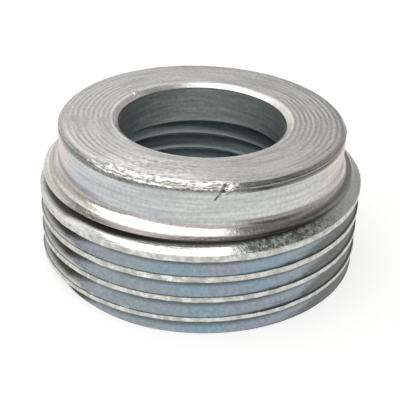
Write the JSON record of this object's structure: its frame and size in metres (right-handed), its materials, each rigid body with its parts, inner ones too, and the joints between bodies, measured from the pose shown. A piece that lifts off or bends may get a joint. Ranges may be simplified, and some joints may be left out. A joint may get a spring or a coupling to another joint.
{
  "type": "reducing bushing",
  "caption": "Round steel reducing bushing with a plain collar over a male thread and a smaller female thread in its bore, for joining conduit to a larger hub.",
  "frame": {"origin": "on the thread axis, at the centre of the flat end face of the male thread, which the part stands on", "axes": "+Z along the thread axis, from the threaded end towards the plain collar; X and Y across the part, with -Y towards the picture's camera"},
  "size_m": [0.0328, 0.0328, 0.015],
  "materials": {
    "zinc_plated_steel": "bright zinc plate over fine turning marks"
  },
  "bodies": {
    "root": {"reducing_bushing": "zinc_plated_steel"}
  },
  "joints": []
}
